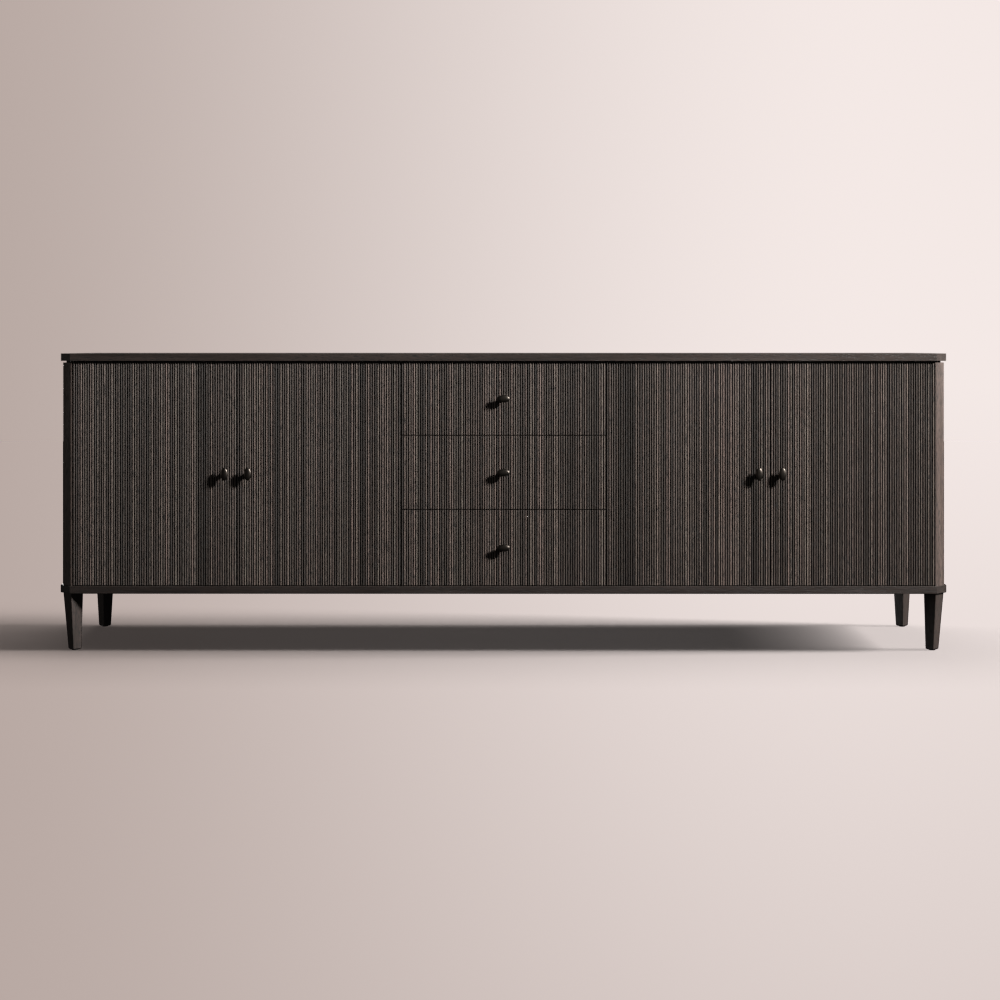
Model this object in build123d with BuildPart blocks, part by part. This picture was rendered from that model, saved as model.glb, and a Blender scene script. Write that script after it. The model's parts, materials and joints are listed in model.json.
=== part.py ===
"""Sideboard buffet: a long case on four corner legs, with two pairs of reeded doors and three reeded drawers.

Millimetres, +Z up. The front faces -Y. The origin is on the floor under the middle of the whole object, knobs included.
"""

from build123d import *
import os

os.makedirs("parts", exist_ok=True)

# ---------------------------------------------------------------- driving dimensions

# whole object
width = 2440.0  # top board, side to side
depth = 508.0  # top board, front to back
height = 817.0  # floor to the upper face of the top board

# boards
top_thickness = 20.6
shadow_gap = 4.4  # dark recess between the top board and the case
base_thickness = 20.0
board_clip = 32.0  # 45 degree cut at the front corners of the top and base boards
board_edge = 0.8  # rounding of the top and base boards' edges
case_inset = 6.0  # case faces behind the edges of the top and base boards
case_clip = 26.6  # 45 degree cut on the front posts
post_depth = 50.0
post_strip = 3.3  # flat of the front posts beside the doors
panel_thickness = 20.0  # sides and partitions
sub_top_thickness = 18.0
back_thickness = 6.0
back_recess = 6.0
shelf_thickness = 20.0
spacer_inset = 31.0  # spacer behind the faces of the doors
spacer_side_inset = 2.0

# legs
glide_height = 2.0
glide_radius = 9.0
glide_stem_radius = 3.0
glide_stem = 15.0
leg_height = 157.0
leg_top = 38.0  # width of a face at the top
leg_bottom = 25.0
leg_edge = 1.2
foot_chamfer = 2.5
leg_back = 6.0  # front leg's outer face behind the board's clipped corner
leg_lean = 4.0  # how far a front foot stands inward of the leg's top, in X and in Y
rear_leg_inset = 28.0  # middle of a rear leg to the side and rear edges of the base board
bolt_radius = 4.0
bolt_below = 30.0
bolt_above = 16.0

# fronts
front_gap = 2.0
drawer_reeds = 86
drawer_front_width = 560.6
door_reeds = 69
front_thickness = 20.0
facing_thickness = 3.6
reed_height = 2.8
groove_width = 1.3
drawer_front_heights = [207.0, 201.5, 198.5]  # bottom, middle, top

# knobs
knob_length = 36.0
knob_width = 20.5
knob_thickness = 7.5
knob_reach = 18.0  # front of the knob to the face of the door
knob_from_edge = 32.0
knob_drop = 305.5  # door knobs below the top of the doors
stem_radius = 6.8
stem_foot_radius = 8.0
stem_foot = 2.0
knob_screw_radius = 2.0
knob_screw_grip = 9.0
screw_head_radius = 4.0
screw_head = 2.5

# pivot hinges
pivot_inset = 18.0  # pin to the hinged edge of the door
pivot_depth = 7.0  # pin behind the face of the door
pin_radius = 2.0
pin_length = 14.0
bush_bore = 2.05
bush_radius = 3.2
bush_length = 18.0
top_plate = 2.5
bottom_plate = 1.5
plate_length = 44.0
plate_depth = 22.0
plate_corner = 4.0
plate_nose = 4.0  # pin to the front edge of its plate

# catches
catch_size = (50.0, 40.0, 12.0)
strike_radius = 8.0
strike_thickness = 1.5
strike_from_edge = 14.0
catch_clearance = 0.3

# drawers
runner_space = 12.7  # between the drawer box and the partition
box_board = 12.0
box_height = 140.0
box_length = 440.0
box_above = 19.0  # underside of the box above the bottom edge of its front
bottom_thickness = 6.0
bottom_above = 8.0
rail_length = 400.0
rail_wall = 1.2
case_rail_height = 36.0
case_rail_depth = 10.0
drawer_rail_height = 30.0
drawer_rail_depth = 8.9

# shelves
shelf_side_gap = 1.5
shelf_back_gap = 3.0
pin_hole_pitch = 32.0
pin_holes_each_way = 3
shelf_pin_radius = 2.5
shelf_pin_in = 9.0
shelf_pin_out = 9.0
shelf_pin_from_end = 60.0

# ---------------------------------------------------------------- places worked out from them

knob_overhang = knob_reach - case_inset
board_front = (knob_overhang - depth) / 2
board_back = board_front + depth
board_middle = (board_front + board_back) / 2
face_y = board_front + case_inset
case_back = board_back - case_inset

top_underside = height - top_thickness
case_top = top_underside - shadow_gap
base_underside = glide_height + leg_height
base_top = base_underside + base_thickness
front_bottom = base_top + front_gap
front_top = case_top
front_height = front_top - front_bottom

case_half = width / 2 - case_inset
post_inner = case_half - case_clip - post_strip
side_inner = case_half - panel_thickness

drawer_half = drawer_front_width / 2
door_width = (post_inner - 3 * front_gap - drawer_half) / 2
partition_middle = drawer_half + front_gap / 2
partition_inner = partition_middle - panel_thickness / 2
partition_outer = partition_middle + panel_thickness / 2

core_front = face_y + facing_thickness
front_back = face_y + front_thickness
carcass_front = face_y + spacer_inset
back_panel_back = case_back - back_recess
back_panel_front = back_panel_back - back_thickness
sub_top_bottom = case_top - sub_top_thickness

pin_y = face_y + pivot_depth
knob_z = front_top - knob_drop
shelf_z = (base_top + sub_top_bottom) / 2
shelf_front = face_y + post_depth + front_gap

box_half = partition_inner - runner_space

inner_left = -drawer_half - front_gap - door_width
outer_left = inner_left - front_gap - door_width
inner_right = drawer_half + front_gap
outer_right = inner_right + door_width + front_gap
# number, left edge, and the side of the door that its pivots are on
doors = [(1, outer_left, -1), (2, inner_left, 1), (3, inner_right, -1), (4, outer_right, 1)]

drawer_levels = []
level = front_bottom
for drawer_height in drawer_front_heights:
    drawer_levels.append((level, drawer_height))
    level += drawer_height + front_gap

corners = {
    "front_left": (-1, -1),
    "front_right": (1, -1),
    "rear_left": (-1, 1),
    "rear_right": (1, 1),
}


# ---------------------------------------------------------------- helpers


def write(shape, name):
    """Label a finished piece and write it to its own file."""
    shape.label = name
    export_step(shape, f"parts/{name}.step")


def board_between(low, high):
    """A plain rectangular board between two opposite corners."""
    size = [b - a for a, b in zip(low, high)]
    middle = tuple((a + b) / 2 for a, b in zip(low, high))
    with BuildPart() as board:
        with Locations(middle):
            Box(*size)
    return board.part


def clipped_outline(half, front, back, clip):
    """Corners of a rectangle in plan with its two front corners cut at 45 degrees."""
    return [
        (-half + clip, front),
        (half - clip, front),
        (half, front + clip),
        (half, back),
        (-half, back),
        (-half, front + clip),
    ]


def reeded_outline(left, wide, reeds):
    """Plan outline of a reeded facing: half round reeds with narrow flat grooves, and a flat back."""
    pitch = wide / reeds
    groove_y = face_y + reed_height
    start = (left, groove_y)
    for number in range(reeds):
        near = left + number * pitch + groove_width / 2
        far = near + pitch - groove_width
        Line(start, (near, groove_y))
        ThreePointArc((near, groove_y), ((near + far) / 2, face_y), (far, groove_y))
        start = (far, groove_y)
    Polyline(start, (left + wide, groove_y), (left + wide, core_front), (left, core_front), (left, groove_y))


def facing_and_core(left, wide, reeds, low, tall, knob_at):
    """The reeded facing and the plain board behind it, both drilled for the knob's screw."""
    with BuildPart() as facing:
        with BuildSketch(Plane.XY.offset(low)):
            with BuildLine():
                reeded_outline(left, wide, reeds)
            make_face()
        extrude(amount=tall)
        with Locations(Plane((knob_at[0], face_y, knob_at[1]), z_dir=(0, -1, 0))):
            Hole(knob_screw_radius, depth=facing_thickness)
    with BuildPart() as core:
        with BuildSketch(Plane.XY.offset(low)):
            with Locations((left + wide / 2, (core_front + front_back) / 2)):
                Rectangle(wide, front_back - core_front)
        extrude(amount=tall)
        with Locations(Plane((knob_at[0], core_front, knob_at[1]), z_dir=(0, -1, 0))):
            Hole(knob_screw_radius, depth=front_back - core_front)
    return facing.part, core.part


def knob_and_screw(x, z, upright, screw_back):
    """An oval knob on a round stem, and the machine screw that holds it from behind."""
    turn = 90 if upright else 0
    head_back = face_y - knob_reach + knob_thickness
    with BuildPart() as knob:
        with BuildSketch(Plane((x, head_back, z), x_dir=(1, 0, 0), z_dir=(0, -1, 0))):
            Ellipse(knob_length / 2, knob_width / 2, rotation=turn)
        extrude(amount=knob_thickness)
        fillet(knob.edges().group_by(Axis.Y)[0], radius=knob_thickness * 0.55)
        fillet(knob.edges().group_by(Axis.Y)[-1], radius=knob_thickness * 0.2)
        with BuildSketch(Plane((x, face_y, z), x_dir=(1, 0, 0), z_dir=(0, -1, 0))):
            Circle(stem_radius)
        extrude(amount=face_y - head_back)
        with BuildSketch(Plane((x, face_y, z), x_dir=(1, 0, 0), z_dir=(0, -1, 0))):
            Circle(stem_foot_radius)
        extrude(amount=stem_foot)
        with Locations(Plane((x, face_y, z), z_dir=(0, 1, 0))):
            Hole(knob_screw_radius, depth=knob_screw_grip)
    with BuildPart() as screw:
        with BuildSketch(Plane((x, screw_back, z), x_dir=(1, 0, 0), z_dir=(0, -1, 0))):
            Circle(knob_screw_radius)
        extrude(amount=screw_back - face_y + knob_screw_grip)
        with BuildSketch(Plane((x, screw_back, z), x_dir=(1, 0, 0), z_dir=(0, 1, 0))):
            Circle(screw_head_radius)
        extrude(amount=screw_head)
        fillet(screw.edges().group_by(Axis.Y)[-1], radius=screw_head * 0.4)
    return Compound(children=[knob.part, screw.part])


def rails(length_start, web, lip, tall, levels):
    """A pair of pressed steel channels at each level, with their open sides facing `lip`."""
    middle_y = length_start + rail_length / 2
    inward = 1 if lip > web else -1
    with BuildPart() as channels:
        for z in levels:
            for side in (-1, 1):
                with Locations((side * (web + lip) / 2, middle_y, z)):
                    Box(abs(lip - web), rail_length, tall)
                with Locations((side * ((web + lip) / 2 + inward * rail_wall / 2), middle_y, z)):
                    Box(abs(lip - web) - rail_wall, rail_length, tall - 2 * rail_wall, mode=Mode.SUBTRACT)
    return channels.part


# ---------------------------------------------------------------- top, spacer and base boards

with BuildPart() as top_panel:
    with BuildSketch(Plane.XY.offset(top_underside)):
        with BuildLine():
            Polyline(*clipped_outline(width / 2, board_front, board_back, board_clip), close=True)
        make_face()
    extrude(amount=top_thickness)
    fillet(top_panel.edges().group_by(Axis.Z)[-1], radius=board_edge)
    fillet(top_panel.edges().group_by(Axis.Z)[0], radius=board_edge)
write(top_panel.part, "top_panel")

with BuildPart() as top_spacer:
    with BuildSketch(Plane.XY.offset(case_top)):
        with BuildLine():
            spacer_outline = clipped_outline(
                case_half - spacer_side_inset, carcass_front, case_back - panel_thickness, case_clip
            )
            Polyline(*spacer_outline, close=True)
        make_face()
    extrude(amount=shadow_gap)
write(top_spacer.part, "top_spacer")

# middle of a leg in from the edges of the base board, and how far its foot leans in
front_leg_inset = board_clip / 2 + (leg_back + leg_top / 2) / 2**0.5
leg_places = {}
for name, (x_side, y_side) in corners.items():
    inset, lean = (front_leg_inset, leg_lean) if y_side < 0 else (rear_leg_inset, 0.0)
    head_at = (x_side * (width / 2 - inset), board_middle + y_side * (depth / 2 - inset))
    foot_at = (head_at[0] - x_side * lean, head_at[1] - y_side * lean)
    leg_places[name] = (head_at, foot_at)

with BuildPart() as base_board:
    with BuildSketch(Plane.XY.offset(base_underside)):
        with BuildLine():
            Polyline(*clipped_outline(width / 2, board_front, board_back, board_clip), close=True)
        make_face()
    extrude(amount=base_thickness)
    fillet(base_board.edges().group_by(Axis.Z)[-1], radius=board_edge)
    fillet(base_board.edges().group_by(Axis.Z)[0], radius=board_edge)
    for head_at, foot_at in leg_places.values():
        with Locations(Plane((*head_at, base_underside), z_dir=(0, 0, -1))):
            Hole(bolt_radius, depth=bolt_above)
write(base_board.part, "base_board")

# ---------------------------------------------------------------- corner posts and sides

for name, (x_side, y_side) in corners.items():
    outer_y = face_y if y_side < 0 else case_back
    corner = [(x_side * case_half, outer_y)]
    if y_side < 0:
        corner = [(x_side * (post_inner + post_strip), outer_y), (x_side * case_half, outer_y + case_clip)]
    post_outline = [
        (x_side * post_inner, outer_y),
        *corner,
        (x_side * case_half, outer_y - y_side * post_depth),
        (x_side * post_inner, outer_y - y_side * post_depth),
    ]
    with BuildPart() as post:
        with BuildSketch(Plane.XY.offset(base_top)):
            with BuildLine():
                Polyline(*post_outline, close=True)
            make_face()
        extrude(amount=case_top - base_top)
    write(post.part, f"post_{name}")

shelf_pin_z = shelf_z - shelf_thickness / 2 - shelf_pin_radius
pin_rows = [
    shelf_pin_z + step * pin_hole_pitch for step in range(-pin_holes_each_way, pin_holes_each_way + 1)
]
shelf_back = back_panel_front - shelf_back_gap
pin_columns = [shelf_front + shelf_pin_from_end, shelf_back - shelf_pin_from_end]

for name, side in (("left", -1), ("right", 1)):
    with BuildPart() as side_panel:
        with BuildSketch(Plane.XY.offset(base_top)):
            with Locations((side * (side_inner + case_half) / 2, (face_y + case_back) / 2)):
                Rectangle(panel_thickness, case_back - face_y - 2 * post_depth)
        extrude(amount=case_top - base_top)
        for y in pin_columns:
            for z in pin_rows:
                with Locations(Plane((side * side_inner, y, z), z_dir=(-side, 0, 0))):
                    Hole(shelf_pin_radius, depth=shelf_pin_in)
    write(side_panel.part, f"side_{name}")

    with BuildPart() as partition:
        with BuildSketch(Plane.XY.offset(base_top)):
            with Locations((side * partition_middle, (carcass_front + back_panel_front) / 2)):
                Rectangle(panel_thickness, back_panel_front - carcass_front)
        extrude(amount=sub_top_bottom - base_top)
        for y in pin_columns:
            for z in pin_rows:
                with Locations(Plane((side * partition_outer, y, z), z_dir=(side, 0, 0))):
                    Hole(shelf_pin_radius, depth=shelf_pin_in)
    write(partition.part, f"partition_{name}")

    shelf_near = side * (partition_outer + shelf_side_gap)
    shelf_far = side * (side_inner - shelf_side_gap)
    with BuildPart() as shelf:
        with BuildSketch(Plane.XY.offset(shelf_z - shelf_thickness / 2)):
            with Locations(((shelf_near + shelf_far) / 2, (shelf_front + shelf_back) / 2)):
                Rectangle(abs(shelf_far - shelf_near), shelf_back - shelf_front)
            # the rear outer corner is cut out around the post
            with Locations((side * side_inner, case_back)):
                Rectangle(
                    2 * (side_inner - post_inner + shelf_side_gap),
                    2 * (post_depth + shelf_back_gap),
                    mode=Mode.SUBTRACT,
                )
        extrude(amount=shelf_thickness)
    write(shelf.part, f"shelf_{name}")

with BuildPart() as shelf_pins:
    for side in (-1, 1):
        for wall, into in ((side_inner, 1), (partition_outer, -1)):
            middle_x = wall + into * (shelf_pin_in - shelf_pin_out) / 2
            for y in pin_columns:
                with Locations(Location((side * middle_x, y, shelf_pin_z), (0, 90, 0))):
                    Cylinder(shelf_pin_radius, shelf_pin_in + shelf_pin_out)
write(shelf_pins.part, "shelf_pins")

# ---------------------------------------------------------------- sub-top and backs

with BuildPart() as sub_top:
    with BuildSketch(Plane.XY.offset(sub_top_bottom)):
        with Locations((0, (carcass_front + back_panel_front) / 2)):
            Rectangle(2 * side_inner, back_panel_front - carcass_front)
        notch = side_inner - post_inner
        for x_side in (-1, 1):
            front_notch = face_y + post_depth - carcass_front
            with Locations((x_side * (post_inner + notch / 2), carcass_front + front_notch / 2)):
                Rectangle(notch, front_notch, mode=Mode.SUBTRACT)
            rear_notch = back_panel_front - (case_back - post_depth)
            with Locations((x_side * (post_inner + notch / 2), back_panel_front - rear_notch / 2)):
                Rectangle(notch, rear_notch, mode=Mode.SUBTRACT)
    extrude(amount=sub_top_thickness)
write(sub_top.part, "sub_top")

for name, low_x, high_x in (
    ("left", -post_inner, -partition_middle),
    ("centre", -partition_middle, partition_middle),
    ("right", partition_middle, post_inner),
):
    back_panel = board_between((low_x, back_panel_front, base_top), (high_x, back_panel_back, case_top))
    write(back_panel, f"back_panel_{name}")

# ---------------------------------------------------------------- legs

for name, (head_at, foot_at) in leg_places.items():
    with BuildPart() as leg:
        with BuildSketch(Plane.XY.offset(glide_height + foot_chamfer)):
            with Locations(foot_at):
                Rectangle(leg_bottom, leg_bottom, rotation=45)
        with BuildSketch(Plane.XY.offset(base_underside)):
            with Locations(head_at):
                Rectangle(leg_top, leg_top, rotation=45)
        loft()
        long_edges = leg.edges().filter_by(lambda edge: edge.length > leg_height / 2)
        fillet(long_edges, radius=leg_edge)
        # the foot narrows just above the floor
        extrude(leg.faces().sort_by(Axis.Z)[0], amount=foot_chamfer, taper=45)
        with Locations((*head_at, base_underside)):
            Hole(bolt_radius, depth=bolt_below)
        with Locations(Plane((*foot_at, glide_height), z_dir=(0, 0, -1))):
            Hole(glide_stem_radius, depth=glide_stem)
    write(leg.part, f"leg_{name}")

with BuildPart() as leg_bolts:
    for head_at, foot_at in leg_places.values():
        with Locations((*head_at, base_underside + (bolt_above - bolt_below) / 2)):
            Cylinder(bolt_radius, bolt_above + bolt_below)
write(leg_bolts.part, "leg_bolts")

with BuildPart() as leg_glides:
    for head_at, foot_at in leg_places.values():
        with Locations((*foot_at, glide_height / 2)):
            Cylinder(glide_radius, glide_height)
        with Locations((*foot_at, glide_height + glide_stem / 2)):
            Cylinder(glide_stem_radius, glide_stem)
    fillet(leg_glides.edges().group_by(Axis.Z)[0], radius=glide_height * 0.3)
write(leg_glides.part, "leg_glides")

# ---------------------------------------------------------------- pivot hinges and catches on the case

for name, plate_z, plate_thickness, pin_up in (
    ("pivot_plates_top", top_underside - top_plate, top_plate, -1),
    ("pivot_plates_bottom", base_top, bottom_plate, 1),
):
    with BuildPart() as pivot_plates:
        for number, left, hinge_side in doors:
            hinged_edge = left if hinge_side < 0 else left + door_width
            pin_x = hinged_edge - hinge_side * pivot_inset
            plate_x = pin_x - hinge_side * (plate_length / 2 - plate_depth / 2)
            plate_y = pin_y - plate_nose + plate_depth / 2
            with BuildSketch(Plane.XY.offset(plate_z)):
                with Locations((plate_x, plate_y)):
                    RectangleRounded(plate_length, plate_depth, plate_corner)
            extrude(amount=plate_thickness)
            pin_start = plate_z if pin_up < 0 else plate_z + plate_thickness
            pin_reach = pin_length + abs(pin_start - (front_top if pin_up < 0 else front_bottom))
            with BuildSketch(Plane.XY.offset(pin_start)):
                with Locations((pin_x, pin_y)):
                    Circle(pin_radius)
            extrude(amount=pin_up * pin_reach)
    write(pivot_plates.part, name)

catch_front = front_back + strike_thickness + catch_clearance
with BuildPart() as door_catches:
    for side in (-1, 1):
        pair_seam = side * (inner_right + door_width + front_gap / 2)
        at = (pair_seam, catch_front + catch_size[1] / 2, sub_top_bottom - catch_size[2] / 2)
        with Locations(at):
            Box(*catch_size)
    fillet(door_catches.edges().filter_by(Axis.Z), radius=2)
write(door_catches.part, "door_catches")

# ---------------------------------------------------------------- doors

for number, left, hinge_side in doors:
    hinged_edge = left if hinge_side < 0 else left + door_width
    free_edge = left + door_width if hinge_side < 0 else left
    pin_x = hinged_edge - hinge_side * pivot_inset
    knob_x = free_edge + hinge_side * (knob_from_edge - front_gap / 2)
    facing, core = facing_and_core(left, door_width, door_reeds, front_bottom, front_height, (knob_x, knob_z))
    write(facing, f"door_{number}_facing")

    with BuildPart() as drilled_core:
        add(core)
        with Locations((pin_x, pin_y, front_top)):
            Hole(bush_radius, depth=bush_length)
        with Locations(Plane((pin_x, pin_y, front_bottom), z_dir=(0, 0, -1))):
            Hole(bush_radius, depth=bush_length)
    write(drilled_core.part, f"door_{number}_core")

    write(knob_and_screw(knob_x, knob_z, True, front_back), f"door_{number}_knob")

    with BuildPart() as fittings:
        for bush_z in (front_top - bush_length / 2, front_bottom + bush_length / 2):
            with Locations((pin_x, pin_y, bush_z)):
                Cylinder(bush_radius, bush_length)
                Cylinder(bush_bore, bush_length, mode=Mode.SUBTRACT)
        strike_x = free_edge + hinge_side * strike_from_edge
        strike_z = sub_top_bottom - catch_size[2] / 2
        with BuildSketch(Plane((strike_x, front_back, strike_z), x_dir=(1, 0, 0), z_dir=(0, 1, 0))):
            Circle(strike_radius)
        extrude(amount=strike_thickness)
    write(fittings.part, f"door_{number}_fittings")

# ---------------------------------------------------------------- drawers

box_levels = [low + box_above for low, tall in drawer_levels]
rail_start = carcass_front + front_gap
rail_levels = [z + box_height / 2 for z in box_levels]
case_rails = rails(rail_start, partition_inner, partition_inner - case_rail_depth, case_rail_height, rail_levels)
write(case_rails, "drawer_case_rails")

for number, ((low, tall), box_low) in enumerate(zip(reversed(drawer_levels), reversed(box_levels)), start=1):
    middle_z = low + tall / 2
    facing, front_board = facing_and_core(-drawer_half, drawer_front_width, drawer_reeds, low, tall, (0, middle_z))
    write(facing, f"drawer_{number}_facing")
    write(front_board, f"drawer_{number}_front_board")

    box_top = box_low + box_height
    box_back = front_back + box_length
    inside = box_half - box_board
    with BuildPart() as box_front:
        with Locations((0, front_back + box_board / 2, box_low + box_height / 2)):
            Box(2 * inside, box_board, box_height)
        with Locations(Plane((0, front_back, middle_z), z_dir=(0, -1, 0))):
            Hole(knob_screw_radius, depth=box_board)
    boards = [
        box_front.part,
        board_between((-inside, box_back - box_board, box_low), (inside, box_back, box_top)),
        board_between((-box_half, front_back, box_low), (-inside, box_back, box_top)),
        board_between((inside, front_back, box_low), (box_half, box_back, box_top)),
        board_between(
            (-inside, front_back + box_board, box_low + bottom_above),
            (inside, box_back - box_board, box_low + bottom_above + bottom_thickness),
        ),
    ]
    write(Compound(children=boards), f"drawer_{number}_box")

    write(knob_and_screw(0, middle_z, False, front_back + box_board), f"drawer_{number}_knob")

    drawer_rails = rails(rail_start, box_half, box_half + drawer_rail_depth, drawer_rail_height,
                         [box_low + box_height / 2])
    write(drawer_rails, f"drawer_{number}_rails")
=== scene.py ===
"""Reeded sideboard: finishes, reeded fronts, knobs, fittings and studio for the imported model."""

import json
import math
import random

import bmesh
import bpy
from bpy.props import FloatProperty, FloatVectorProperty, IntProperty, PointerProperty
from mathutils import Matrix, Vector


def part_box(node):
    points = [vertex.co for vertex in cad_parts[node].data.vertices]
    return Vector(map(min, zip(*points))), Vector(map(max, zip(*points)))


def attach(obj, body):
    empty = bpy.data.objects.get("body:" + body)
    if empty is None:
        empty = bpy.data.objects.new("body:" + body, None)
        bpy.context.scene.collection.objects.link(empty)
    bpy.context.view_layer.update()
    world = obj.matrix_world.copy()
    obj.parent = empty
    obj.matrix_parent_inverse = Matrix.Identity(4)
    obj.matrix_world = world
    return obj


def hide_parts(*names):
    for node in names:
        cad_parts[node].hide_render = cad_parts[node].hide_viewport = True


bl_info = {
    "name": "Reeded Sideboard",
    "version": (1, 0, 0),
    "blender": (4, 5, 0),
    "location": "View3D > Sidebar > Sideboard",
    "description": "Builds the oak finishes, reeded fronts, knobs, fittings and studio of a long sideboard",
    "category": "Object",
}

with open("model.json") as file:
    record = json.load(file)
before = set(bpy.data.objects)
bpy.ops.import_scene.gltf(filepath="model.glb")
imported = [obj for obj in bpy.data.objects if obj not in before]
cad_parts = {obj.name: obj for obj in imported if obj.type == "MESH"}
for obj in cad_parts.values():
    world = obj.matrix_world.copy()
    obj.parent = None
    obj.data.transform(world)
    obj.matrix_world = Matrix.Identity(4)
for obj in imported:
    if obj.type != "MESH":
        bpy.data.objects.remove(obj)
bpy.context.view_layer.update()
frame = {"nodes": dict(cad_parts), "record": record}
MM = 0.001
ORIGIN = (0.0, 0.0, 0.0)
KEY_DIRECTION = Vector((0.785, -0.350, 0.511))  # from the sideboard to the key light: right, front and up

FRONTS = [name for name in frame["nodes"] if name.endswith("_facing")]
KNOBS = [name for name in frame["nodes"] if name.endswith("_knob")]
BOARD_LOW, BOARD_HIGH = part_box("top_panel")
BACK_NAMES = [name for name in frame["nodes"] if name.startswith("back_panel")]


def body_of_node(name):
    """The body that a node belongs to."""
    bodies = frame["record"]["behaviour"]["bodies"]
    return next(body for body, nodes in bodies.items() if name in nodes)


# ------------------------------------------------------------------ settings


def colour(name, description, default):
    """A colour setting."""
    return FloatVectorProperty(
        name=name, description=description, default=default, size=3, min=0.0, max=1.0, subtype="COLOR"
    )


def length(name, description, default):
    """A length setting, in metres."""
    return FloatProperty(name=name, description=description, default=default, min=0.0, unit="LENGTH")


def power(name, description, default):
    """The strength of a light."""
    return FloatProperty(name=name, description=description, default=default, min=0.0)


def share(name, description, default):
    """A setting from 0 to 1."""
    return FloatProperty(
        name=name, description=description, default=default, min=0.0, max=1.0, subtype="FACTOR"
    )


class OakFinish(bpy.types.PropertyGroup):
    """Stained and brushed oak of everything seen when the sideboard is shut"""

    stain_dark: colour("Dark stain", "Colour where the wood took most of the stain", (0.021, 0.0160, 0.0130))
    stain_light: colour("Light stain", "Colour of the harder growth rings", (0.080, 0.060, 0.052))
    stain_warm: colour("Warm streak", "Colour of the warmer streaks in the stain", (0.100, 0.070, 0.062))
    stain_cool: colour("Cool streak", "Colour of the cooler streaks in the stain", (0.070, 0.066, 0.055))
    # the colour of the open pores, also used as painted shade in the reeds' grooves and at their ends
    pore_and_painted_shade: colour("Pores", "Colour inside the open pores", (0.006, 0.005, 0.0045))
    worn: colour("Worn edge", "Colour where handling has thinned the stain", (0.135, 0.112, 0.096))
    wear: share("Edge wear", "How much the edges are worn", 0.35)
    roughness: share("Roughness", "Roughness of the satin lacquer", 0.46)
    figure: FloatProperty(name="Figure", description="Growth bands across a metre", default=55.0, min=1.0)


class ReedShape(bpy.types.PropertyGroup):
    """The half round reeds on the doors and drawers"""

    door_reeds: IntProperty(name="Door reeds", description="Reeds on one door", default=69, min=1)
    drawer_reeds: IntProperty(name="Drawer reeds", description="Reeds on one drawer", default=86, min=1)
    groove: length("Groove", "Flat width between two reeds", 2.6 * MM)
    height: length("Height", "Height of a reed above the groove", 2.8 * MM)
    ends: length("Ends", "How far the reeds stop short of the ends of the board", 0.5 * MM)
    steps: IntProperty(name="Steps", description="Facets round one reed", default=7, min=3)
    row: length("Row", "Distance between two rows of points up a reed", 26.0 * MM)
    uneven: share("Unevenness", "How much the reeds differ in height, as a share of it", 0.30)
    jitter: length("Jitter", "How far a reed stands out of its place sideways", 0.22 * MM)
    wander: length("Wander", "How far a reed wanders sideways", 0.10 * MM)


class KnobShape(bpy.types.PropertyGroup):
    """The oval knobs"""

    stem_radius: length("Stem radius", "Radius of the round stem", 6.6 * MM)
    foot_radius: length("Foot radius", "Radius of the stem's foot", 8.0 * MM)
    head: length("Head", "Thickness of the oval head", 7.5 * MM)
    crown: share("Crown", "How much of the head's thickness is its rounded face", 0.72)
    bronze: colour("Bronze", "Colour of the blackened bronze", (0.092, 0.080, 0.070))
    rubbed: colour("Rubbed bronze", "Colour where fingers have rubbed the bronze", (0.33, 0.29, 0.25))
    roughness: share("Roughness", "Roughness of the waxed bronze", 0.36)


class InsideFinish(bpy.types.PropertyGroup):
    """Finishes that show when the doors and drawers are open"""

    veneer_dark: colour("Veneer, dark", "Dark tone of the veneer inside the case", (0.040, 0.028, 0.021))
    veneer_light: colour("Veneer, light", "Light tone of the veneer inside the case", (0.090, 0.064, 0.047))
    drawer_dark: colour("Drawer wood, dark", "Dark tone of the drawer boxes", (0.235, 0.140, 0.078))
    drawer_light: colour("Drawer wood, light", "Light tone of the drawer boxes", (0.420, 0.275, 0.165))
    back: colour("Back", "Colour of the thin back boards", (0.034, 0.027, 0.023))


class FittingFinish(bpy.types.PropertyGroup):
    """Metal and plastic fittings"""

    steel: colour("Plated steel", "Colour of the plated rails, plates and screws", (0.46, 0.46, 0.47))
    black_steel: colour("Black steel", "Colour of the blackened hinge plates", (0.012, 0.011, 0.010))
    brass: colour("Brass", "Colour of the turned bushes and strikes", (0.60, 0.44, 0.20))
    nylon: colour("Nylon", "Colour of the glides under the legs", (0.016, 0.015, 0.014))
    screw_radius: length("Screw radius", "Radius of the heads of the back screws", 3.6 * MM)
    screw_spacing: length("Screw spacing", "Distance between two back screws", 150.0 * MM)


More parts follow.
